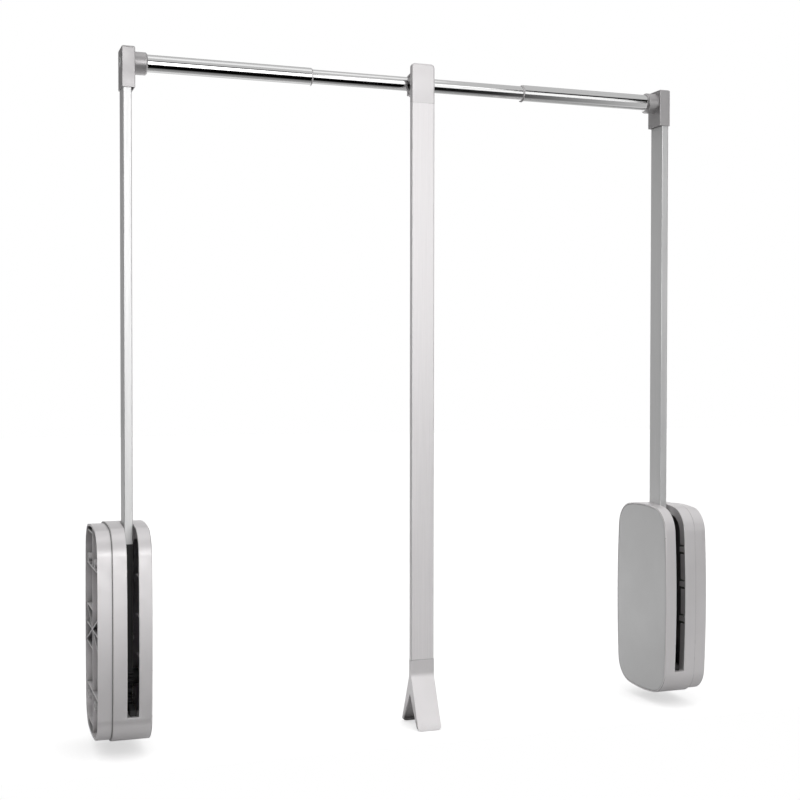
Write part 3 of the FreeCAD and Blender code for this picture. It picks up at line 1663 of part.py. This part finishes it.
nodes["handle_head"] = handle_head("handle_head")
nodes["handle_clamp"] = handle_clamp("handle_clamp")
nodes["clamp_screws"] = clamp_screws("clamp_screws")
nodes["handle_bar"] = handle_bar("handle_bar")
nodes["handle_pins"] = handle_pins("handle_pins")
nodes["handle_foot"] = handle_foot("handle_foot")


# ---- check and write -----------------------------------------------------------------

for name, item in nodes.items():
    item.Label = name
doc.recompute()

for item in doc.Objects:
    if "Invalid" in item.State or "Error" in item.State:
        raise RuntimeError(f"{item.Name}: {item.State} {item.getStatusString()}")
for name, item in nodes.items():
    shape = item.Shape
    if shape.isNull() or not shape.isValid() or not shape.Solids:
        raise RuntimeError(f"{name}: bad shape")

os.makedirs("parts", exist_ok=True)
for name, item in nodes.items():
    item.Shape.exportStep(f"parts/{name}.step")
print(len(nodes), "nodes written")
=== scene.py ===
"""Looks of the pull down closet rod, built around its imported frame. Units are metres."""

import json
import math

import bpy
from mathutils import Matrix, Vector

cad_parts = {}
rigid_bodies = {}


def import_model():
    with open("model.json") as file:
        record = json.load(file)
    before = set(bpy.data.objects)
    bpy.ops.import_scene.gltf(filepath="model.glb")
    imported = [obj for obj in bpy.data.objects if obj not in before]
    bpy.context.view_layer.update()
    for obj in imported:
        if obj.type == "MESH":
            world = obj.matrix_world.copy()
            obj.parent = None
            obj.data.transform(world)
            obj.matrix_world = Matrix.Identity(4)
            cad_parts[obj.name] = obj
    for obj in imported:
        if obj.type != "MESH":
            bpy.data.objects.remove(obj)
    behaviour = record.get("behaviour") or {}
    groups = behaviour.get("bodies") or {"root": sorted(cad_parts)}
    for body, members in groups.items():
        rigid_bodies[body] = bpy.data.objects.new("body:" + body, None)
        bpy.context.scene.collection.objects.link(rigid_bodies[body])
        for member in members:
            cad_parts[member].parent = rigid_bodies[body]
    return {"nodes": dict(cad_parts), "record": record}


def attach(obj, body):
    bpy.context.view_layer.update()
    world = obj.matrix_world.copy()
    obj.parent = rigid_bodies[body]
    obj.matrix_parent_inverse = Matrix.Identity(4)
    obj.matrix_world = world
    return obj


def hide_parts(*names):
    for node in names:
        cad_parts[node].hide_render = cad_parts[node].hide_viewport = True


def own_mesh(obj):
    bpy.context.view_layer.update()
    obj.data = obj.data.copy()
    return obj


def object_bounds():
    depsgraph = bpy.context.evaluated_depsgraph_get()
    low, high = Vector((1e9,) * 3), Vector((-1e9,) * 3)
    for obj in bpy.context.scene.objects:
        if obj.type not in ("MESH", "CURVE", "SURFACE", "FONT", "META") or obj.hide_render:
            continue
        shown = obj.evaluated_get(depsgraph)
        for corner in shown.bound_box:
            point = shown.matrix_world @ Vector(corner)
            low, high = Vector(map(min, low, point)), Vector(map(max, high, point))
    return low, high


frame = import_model()
nodes = frame["nodes"]
cad_low, cad_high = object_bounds()

MM = 0.001
scene = bpy.context.scene

# ---- camera ---------------------------------------------------------------------------

PHOTO_PIXELS = 800
SENSOR_MM = 36
FOCAL_PIXELS = 1317.7
CAMERA_AT = Vector((-0.1809, -1.6465, 0.3154))
CAMERA_YAW = math.radians(19.488)  # from +Y towards +X
CAMERA_PITCH = math.radians(-1.144)
CAMERA_ROLL = math.radians(0.065)
FARTHEST = 50


def make_camera():
    data = bpy.data.cameras.new("camera")
    data.sensor_width = SENSOR_MM
    data.lens = FOCAL_PIXELS / PHOTO_PIXELS * SENSOR_MM
    data.clip_end = FARTHEST
    camera = bpy.data.objects.new("camera", data)
    scene.collection.objects.link(camera)
    ahead = Vector(
        (
            math.sin(CAMERA_YAW) * math.cos(CAMERA_PITCH),
            math.cos(CAMERA_YAW) * math.cos(CAMERA_PITCH),
            math.sin(CAMERA_PITCH),
        )
    )
    level = Vector((math.cos(CAMERA_YAW), -math.sin(CAMERA_YAW), 0))
    upright = level.cross(ahead)
    right = level * math.cos(CAMERA_ROLL) + upright * math.sin(CAMERA_ROLL)
    up = upright * math.cos(CAMERA_ROLL) - level * math.sin(CAMERA_ROLL)
    turn = Matrix((right, up, -ahead)).transposed()
    camera.matrix_world = Matrix.Translation(CAMERA_AT) @ turn.to_4x4()
    scene.camera = camera


make_camera()


# ---- node helpers ---------------------------------------------------------------------


class Nodes:
    """Short calls for the nodes of a material or of the world."""

    def __init__(self, tree):
        self.tree = tree

    def node(self, kind, **settings):
        made = self.tree.nodes.new(kind)
        for key, value in settings.items():
            setattr(made, key, value)
        return made

    def put(self, into, value):
        """Join an output to a socket, or set the socket to a plain value."""
        if isinstance(value, bpy.types.NodeSocket):
            self.tree.links.new(value, into)
        else:
            into.default_value = value

    def maths(self, operation, *values):
        node = self.node("ShaderNodeMath", operation=operation)
        for socket, value in zip(node.inputs, values):
            self.put(socket, value)
        return node.outputs[0]

    def remap(self, value, low, high, to_low, to_high, **settings):
        node = self.node("ShaderNodeMapRange", **settings)
        self.put(node.inputs["Value"], value)
        ends = {"From Min": low, "From Max": high, "To Min": to_low, "To Max": to_high}
        for key, number in ends.items():
            node.inputs[key].default_value = number
        return node.outputs["Result"]

    def split(self, vector):
        """The X, Y and Z of a vector."""
        node = self.node("ShaderNodeSeparateXYZ")
        self.put(node.inputs[0], vector)
        return node.outputs


class Shader(Nodes):
    """A material with short calls for its nodes."""

    def __init__(self, name):
        self.material = bpy.data.materials.new(name)
        self.material.use_nodes = True
        super().__init__(self.material.node_tree)
        self.main = self.tree.nodes["Principled BSDF"]
        self.place = self.node("ShaderNodeTexCoord").outputs["Object"]

    def stretched(self, scale):
        """Object coordinates stretched along the axes, as for brushed metal."""
        node = self.node("ShaderNodeMapping")
        self.put(node.inputs["Vector"], self.place)
        node.inputs["Scale"].default_value = scale
        return node.outputs["Vector"]

    def noise(self, scale, detail, roughness=0.5, where=None):
        node = self.node("ShaderNodeTexNoise")
        self.put(node.inputs["Vector"], where or self.place)
        node.inputs["Scale"].default_value = scale
        node.inputs["Detail"].default_value = detail
        node.inputs["Roughness"].default_value = roughness
        return node.outputs["Fac"]

    def mix(self, factor, first, second):
        node = self.node("ShaderNodeMix", data_type="RGBA")
        self.put(node.inputs["Factor"], factor)
        self.put(node.inputs["A"], first)
        self.put(node.inputs["B"], second)
        return node.outputs["Result"]

    def finish(self, tone, metallic, roughness, height=None, depth=0.0):
        """Set colour, metal and gloss, and a bump of the given depth."""
        self.put(self.main.inputs["Base Color"], tone)
        self.main.inputs["Metallic"].default_value = metallic
        self.put(self.main.inputs["Roughness"], roughness)
        if height:
            bump = self.node("ShaderNodeBump")
            self.put(bump.inputs["Height"], height)
            bump.inputs["Distance"].default_value = depth
            self.put(self.main.inputs["Normal"], bump.outputs["Normal"])
        return self.material


def grey(level, tint=(1.0, 1.0, 1.0)):
    return (level * tint[0], level * tint[1], level * tint[2], 1.0)


# ---- materials ------------------------------------------------------------------------

NOISE_ENDS = (0.3, 0.7)  # the part of a noise's values that is used

# cells of noise per metre
FLOW_CELLS = 14  # flow marks in plastic
SPECK_CELLS = 2600
GRAIN_CELLS = 1800
HAZE_CELLS = 60  # changes in gloss
EDGE_MOTTLE_CELLS = 90
CHROME_HAZE_CELLS = 25
BRUSHED_CELLS = 900  # across the lines of brushed metal
BRUSHED_CELLS_ALONG = 12
HAIRLINE_CELLS = (8.0, 700.0, 700.0)

BUMP_DEPTH = 0.00002
SEAM = 17.5 * MM  # where a housing's two halves meet, from its closet side
SEAM_SHADE_SPAN = (0.4 * MM, 0.9 * MM)  # full painted seam shade up to here on each side, and none from there
SEAM_SHADE_TONE = 0.15  # painted shade along the seam, as a share of the plastic's own tone
RECESS_SHADE_TONE = 0.35  # painted shade in recesses, as a share of the plastic's own tone
RECESS_SHADE_ENDS = (0.35, 0.8)  # full painted shade and none, by how open a place is


def moulded_plastic(
    name, level, tint=(1, 1, 1), roughness=0.42, metallic=0.0, recess=None, seam=False
):
    """Moulded or painted plastic: fine eroded grain, faint flow marks, painted shade in its
    recesses, looked for within the given distance, and painted shade along the seam of the
    housings."""
    shader = Shader(name)
    flow = shader.remap(shader.noise(FLOW_CELLS, detail=3), *NOISE_ENDS, 0, 1)
    tone = shader.mix(flow, grey(level * 0.97, tint), grey(level * 1.03, tint))
    speck = shader.remap(shader.noise(SPECK_CELLS, detail=1), 0.35, 0.65, 0.0, 0.06)
    tone = shader.mix(speck, tone, grey(level * 0.7, tint))
    if recess:
        # painted shade: the plastic darkens where ambient occlusion finds it closed in
        openness = shader.node("ShaderNodeAmbientOcclusion", samples=6)
        openness.inputs["Distance"].default_value = recess
        unshaded = shader.remap(openness.outputs["AO"], *RECESS_SHADE_ENDS, 0, 1)
        tone = shader.mix(unshaded, grey(level * RECESS_SHADE_TONE, tint), tone)
    if seam:
        # painted shade: a dark line along each seam plane between a housing's two halves
        across = shader.split(shader.place)["X"]
        for seam_x in (SEAM, cad_high.x - SEAM):
            away = shader.maths("ABSOLUTE", shader.maths("SUBTRACT", across, seam_x))
            seam_shade = shader.remap(away, *SEAM_SHADE_SPAN, 0.8, 0)
            tone = shader.mix(seam_shade, tone, grey(level * SEAM_SHADE_TONE, tint))
    haze = shader.remap(
        shader.noise(HAZE_CELLS, detail=4), *NOISE_ENDS, roughness - 0.04, roughness + 0.05
    )
    grain = shader.noise(GRAIN_CELLS, detail=2)
    return shader.finish(tone, metallic, haze, grain, BUMP_DEPTH)


def satin_metal(name, level, roughness, along, metallic=1.0, tint=(1, 1, 1)):
    """Anodised or brushed metal, its fine lines running along one axis."""
    shader = Shader(name)
    scale = [BRUSHED_CELLS] * 3
    scale["xyz".index(along)] = BRUSHED_CELLS_ALONG
    lines = shader.noise(1.0, detail=3, roughness=0.6, where=shader.stretched(scale))
    tone = shader.mix(
        shader.remap(lines, *NOISE_ENDS, 0, 1), grey(level * 0.96, tint), grey(level * 1.03, tint)
    )
    haze = shader.remap(lines, *NOISE_ENDS, roughness - 0.05, roughness + 0.05)
    return shader.finish(tone, metallic, haze, lines, BUMP_DEPTH)


def chrome(name):
    """Polished plating with a breath of haze and hairline marks."""
    shader = Shader(name)
    marks = shader.noise(1.0, detail=2, where=shader.stretched(HAIRLINE_CELLS))
    tone = shader.mix(shader.remap(marks, 0.4, 0.6, 0, 1), grey(0.80), grey(0.84))
    haze = shader.remap(shader.noise(CHROME_HAZE_CELLS, detail=4), *NOISE_ENDS, 0.05, 0.11)
    return shader.finish(tone, 1.0, haze)


WARM = (1.02, 0.992, 1.0)

FINISHES = {
    # painted shade along the seam on the shell and wall side, and in recesses on the wall side
    # and handle plastic
    "shell": moulded_plastic("shell_plastic", 0.82, WARM, 0.36, 0.42, seam=True),
    "wall_side": moulded_plastic(
        "wall_side_plastic", 0.82, WARM, 0.36, 0.42, recess=0.02, seam=True
    ),
    "panel": moulded_plastic("panel_plastic", 0.84, roughness=0.45, metallic=0.3),
    "arm_paint": satin_metal("arm_metal", 0.76, 0.36, "z", 0.52),
    "bracket": moulded_plastic("bracket_plastic", 0.5, WARM, 0.36, 0.55),
    "screw_cap": moulded_plastic("screw_cap_paint", 0.98, roughness=0.3),
    "chrome_tube": chrome("tube_chrome"),
    "chrome_tube_inner": chrome("inner_tube_chrome"),
    "sleeve": moulded_plastic("sleeve_plastic", 0.68, WARM, 0.3),
    "handle_plastic": moulded_plastic("handle_plastic", 0.82, WARM, 0.36, 0.38, recess=0.02),
    "clamp_plastic": moulded_plastic("clamp_plastic", 0.4, WARM, 0.35),
    "handle_bar": satin_metal("handle_metal", 0.95, 0.36, "z", 0.3, WARM),
    "steel": satin_metal("zinc_steel", 0.6, 0.3, "x"),
    "spring_steel": satin_metal("spring_wire", 0.3, 0.35, "z"),
    # near-black: the parts' own dark colour, and also painted shade for the dark inside of the
    # housing slots
    "gear_metal": moulded_plastic("gear_black", 0.02, roughness=0.5),
    "dark_plastic": moulded_plastic("acetal_black", 0.02, roughness=0.35),
    "rubber_stop": moulded_plastic("rubber_black", 0.02, roughness=0.7),
}


def edge_highlight_and_shade(name, bright, dark, metallic):
    """Painted highlight and shade on rounded edges: bright where they stand upright, dark between
    a front and its end.
    """
    shader = Shader(name)
    facing = shader.split(shader.node("ShaderNodeTexCoord").outputs["Normal"])
    slant = shader.maths("ABSOLUTE", shader.maths("MULTIPLY", facing["Y"], facing["Z"]))
    end = shader.remap(slant, 0.15, 0.35, 0, 1)
    edge_mottle = shader.remap(shader.noise(EDGE_MOTTLE_CELLS, detail=3), *NOISE_ENDS, 0.9, 1.0)
    # painted highlight on upright edges, painted shade on edges between a front and its top or
    # bottom
    tone = shader.mix(end, grey(bright, WARM), grey(dark, WARM))
    haze = shader.remap(shader.noise(HAZE_CELLS, detail=4), *NOISE_ENDS, 0.26, 0.34)
    return shader.finish(shader.mix(edge_mottle, grey(bright * 0.8, WARM), tone), metallic, haze)


# the painted highlight and shade of rounded edges, for each material slot that has its own
EDGE_HIGHLIGHT_AND_SHADE = {
    "shell": edge_highlight_and_shade("shell_edge", 0.98, 0.4, 0.3),
    "arm_paint": edge_highlight_and_shade("arm_edge", 0.98, 0.4, 0.3),
    "bracket": edge_highlight_and_shade("bracket_edge", 0.95, 0.16, 0.3),
    "handle_plastic": edge_highlight_and_shade("handle_edge", 0.98, 0.22, 0.3),
    "handle_bar": edge_highlight_and_shade("bar_edge", 0.98, 0.3, 0.3),
    "sleeve": edge_highlight_and_shade("sleeve_edge", 0.9, 0.3, 0.0),
}

# width of the rounded edges in millimetres, for each material slot
EDGE_MM = {
    "shell": 0.7,
    "panel": 0.5,
    "arm_paint": 0.45,
    "bracket": 0.9,
    "screw_cap": 0.3,
    "chrome_tube": 0.15,
    "chrome_tube_inner": 0.15,
    "sleeve": 0.3,
    "handle_plastic": 0.9,
    "clamp_plastic": 0.5,
    "handle_bar": 0.4,
    "steel": 0.25,
    "gear_metal": 0.3,
    "dark_plastic": 0.3,
    "rubber_stop": 0.5,
}
JOIN_DISTANCE = 2e-6
FLAT_ANGLE = math.radians(0.4)
EDGE_ANGLE = math.radians(28)


def soften(piece, width):
    """Join the CAD faces of a piece, merge its flat areas and round its edges."""
    mesh = piece.data
    for name in ("custom_normal", "sharp_edge", "sharp_face"):
        if name in mesh.attributes:
            mesh.attributes.remove(mesh.attributes[name])
    for face in mesh.polygons:
        face.use_smooth = True
    weld = piece.modifiers.new("weld", "WELD")
    weld.merge_threshold = JOIN_DISTANCE
    flat = piece.modifiers.new("flat", "DECIMATE")
    flat.decimate_type = "DISSOLVE"
    flat.angle_limit = FLAT_ANGLE
    bevel = piece.modifiers.new("round", "BEVEL")
    bevel.width = width * MM
    bevel.segments = 3
    bevel.limit_method = "ANGLE"
    bevel.angle_limit = EDGE_ANGLE
    bevel.miter_outer = "MITER_ARC"
    # the rounded edges take the last material: the painted edge highlight and shade where the
    # slot has one
    bevel.material = len(mesh.materials) - 1
    normals = piece.modifiers.new("normals", "WEIGHTED_NORMAL")
    normals.keep_sharp = True


def finish_nodes():
    """Give every carried-over CAD node the finish of its material slot."""
    for part in frame["record"]["subparts"]:
        piece, slot = nodes[part["node"]], part["material_slot"]
        piece.data.materials.clear()
        wall_side = part["node"].endswith("base_shell")
        piece.data.materials.append(FINISHES["wall_side" if wall_side else slot])
        # a second material for the rounded edges: painted highlight and shade
        if slot in EDGE_HIGHLIGHT_AND_SHADE:
            piece.data.materials.append(EDGE_HIGHLIGHT_AND_SHADE[slot])
        if slot in EDGE_MM:
            soften(piece, EDGE_MM[slot])


finish_nodes()


# ---- lift springs ---------------------------------------------------------------------


def make_coils():
    """Copies of the CAD springs, named as coils, carried by their joints' parent bodies while the
    CAD springs are hidden.
    """
    for joint in frame["record"]["behaviour"]["joints"]:
        for entry in joint.get("deforming_nodes", ()):
            name, top = entry["node"], entry["fixed_end_z_m"]
            coil = bpy.data.objects.new(name.replace("spring", "coil"), nodes[name].data.copy())
            scene.collection.objects.link(coil)
            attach(coil, joint["parent"])
            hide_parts(name)
            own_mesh(coil)


make_coils()


# ---- studio ---------------------------------------------------------------------------

FLOOR_Z = cad_low.z
FLOOR_MATTE = 0.7  # as the camera sees it
FLOOR_BOUNCE = 0.4  # the light that it gives back to the object
FLOOR_GLOW = 0.55  # of its white, which hides the horizon and leaves the shadows
FLOOR_MIRRORED = (0.13, 0.9)  # its glow in reflections: near or on the left, and beyond
FLOOR_UNDER = 0.45  # more of it right under the rail


def floor_material():
    """Pale floor: pure white where lit, and it keeps the object's soft shadow."""
    shader = Shader("floor_white")
    path = shader.node("ShaderNodeLightPath").outputs
    matte = shader.node("ShaderNodeBsdfDiffuse")
    tone = shader.mix(path["Is Camera Ray"], grey(FLOOR_BOUNCE), grey(FLOOR_MATTE))
    shader.put(matte.inputs["Color"], tone)

    spot = shader.split(shader.place)
    beyond = shader.maths(
        "MULTIPLY",
        shader.remap(spot["X"], 0.0, 0.2, 0, 1),
        shader.remap(spot["Y"], 0.3, 0.8, 0, 1),
    )
    under = shader.maths(
        "MULTIPLY",
        shader.maths(
            "MULTIPLY",
            shader.remap(spot["X"], 0.03, 0.13, 0, 1),
            shader.remap(spot["X"], 0.5, 0.7, 1, 0),
        ),
        shader.maths(
            "MULTIPLY",
            shader.remap(spot["Y"], 0.06, 0.12, 0, 1),
            shader.remap(spot["Y"], 0.24, 0.38, FLOOR_UNDER, 0),
        ),
    )
    mirrored = shader.maths("MAXIMUM", path["Is Glossy Ray"], path["Is Transmission Ray"])
    level = shader.maths("ADD", under, shader.remap(beyond, 0, 1, *FLOOR_MIRRORED))
    reflected = shader.maths("MULTIPLY", mirrored, level)
    seen = shader.remap(path["Is Camera Ray"], 0, 1, 0, FLOOR_GLOW)
    glow = shader.node("ShaderNodeEmission")
    glow.inputs["Color"].default_value = grey(1.0)
    shader.put(glow.inputs["Strength"], shader.maths("ADD", reflected, seen))

    both = shader.node("ShaderNodeAddShader")
    shader.put(both.inputs[0], matte.outputs[0])
    shader.put(both.inputs[1], glow.outputs[0])
    shader.put(shader.tree.nodes["Material Output"].inputs["Surface"], both.outputs[0])
    shader.tree.nodes.remove(shader.main)
    return shader.material


FLOOR_FRONT = -0.11  # behind the place where the swung-down arms and handle pass its level
FLOOR_BACK = 8.0
FLOOR_SIDE = 8.0


def make_floor():
    mesh = bpy.data.meshes.new("floor")
    corners = [
        (-FLOOR_SIDE, FLOOR_FRONT, FLOOR_Z),
        (FLOOR_SIDE, FLOOR_FRONT, FLOOR_Z),
        (FLOOR_SIDE, FLOOR_BACK, FLOOR_Z),
        (-FLOOR_SIDE, FLOOR_BACK, FLOOR_Z),
    ]
    mesh.from_pydata(corners, [], [(0, 1, 2, 3)])
    mesh.materials.append(floor_material())
    floor = bpy.data.objects.new("floor", mesh)
    scene.collection.objects.link(floor)


# The studio as seen from the object, by direction: its light, and the ranges of X, Y and Z
# of a direction that it fills, None where it has no end.
STUDIO = (
    (2.43, (-0.25, 0.25), (None, 0.0), (-0.15, 0.37)),  # large softbox ahead
    (0.72, (None, -0.25), (0.0, None), (-0.06, 0.21)),  # wall behind on the left
    (0.06, (-0.25, 0.25), (0.0, None), (-0.06, 0.21)),  # wall straight behind
    (0.3, (0.25, None), (0.0, None), (0.21, 0.56)),  # wall behind on the right
    (0.3, (None, None), (None, None), (None, -0.85)),  # ground right below
    (0.85, (0.47, None), (None, None), (None, -0.15)),  # pale ground on the right
)
CEILING = 1.06
CEILING_MIRRORED = 0.6
CEILING_RANGES = ((None, None), (None, None), (0.56, None))
BORDERS = (0.1, 0.2, 0.085)  # half the width of a soft border along X, Y and Z
BACKDROP = ((0.08, None), (0.05, None), (None, 0.36))  # where mirrors see the white backdrop


def make_world():
    """A dark studio with its light panels; the camera sees a white backdrop all around."""
    world = bpy.data.worlds.new("studio")
    scene.world = world
    world.use_nodes = True
    world.node_tree.nodes.clear()
    sky = Nodes(world.node_tree)
    way = sky.split(sky.node("ShaderNodeTexCoord").outputs["Generated"])

    def region(level, ranges):
        """A level inside the ranges of X, Y and Z, fading to 0 across their borders."""
        for axis, half_width, ends in zip("XYZ", BORDERS, ranges):
            for border, outside, inside in zip(ends, (0, 1), (1, 0)):
                if border is not None:
                    share = sky.remap(
                        way[axis],
                        border - half_width,
                        border + half_width,
                        outside,
                        inside,
                        interpolation_type="SMOOTHSTEP",
                    )
                    level = sky.maths("MULTIPLY", share, level)
        return level

    def background(strength):
        node = sky.node("ShaderNodeBackground")
        node.inputs["Color"].default_value = grey(1.0)
        sky.put(node.inputs["Strength"], strength)
        return node.outputs[0]

    path = sky.node("ShaderNodeLightPath").outputs
    dimmer = sky.maths("MULTIPLY", path["Is Glossy Ray"], CEILING_MIRRORED - CEILING)
    room = region(sky.maths("ADD", dimmer, CEILING), CEILING_RANGES)
    for level, *ranges in STUDIO:
        room = sky.maths("ADD", region(level, ranges), room)
    mirrored = sky.maths("MAXIMUM", path["Is Glossy Ray"], path["Is Transmission Ray"])
    backdrop = sky.maths("MULTIPLY", mirrored, region(1.0, BACKDROP))
    mix = sky.node("ShaderNodeMixShader")
    sky.put(mix.inputs[0], sky.maths("MAXIMUM", backdrop, path["Is Camera Ray"]))
    sky.put(mix.inputs[1], background(room))
    sky.put(mix.inputs[2], background(1.0))
    sky.put(sky.node("ShaderNodeOutputWorld").inputs["Surface"], mix.outputs[0])


def make_lamp(name, at, aim, size, radiance):
    """An area lamp of the given size whose face is as bright as radiance."""
    data = bpy.data.lights.new(name, "AREA")
    data.shape = "RECTANGLE"
    data.size, data.size_y = size
    data.energy = radiance * math.pi * size[0] * size[1]
    lamp = bpy.data.objects.new(name, data)
    scene.collection.objects.link(lamp)
    lamp.location = at
    lamp.rotation_mode = "QUATERNION"
    lamp.rotation_quaternion = (Vector(aim) - Vector(at)).to_track_quat("-Z", "Y")


make_floor()
make_world()
make_lamp("softbox", (0.95, -2.0, 0.85), (0.95, 0, 0.85), (1.8, 1.15), 1.15)
make_lamp("key", (1.3, -2.2, 1.9), (0.3, 0, 0.2), (0.6, 0.6), 1.6)
make_lamp("top", (0.4, -0.3, 2.6), (0.4, 0, 0.2), (1.6, 1.0), 0.41)

scene.view_settings.view_transform = "Standard"
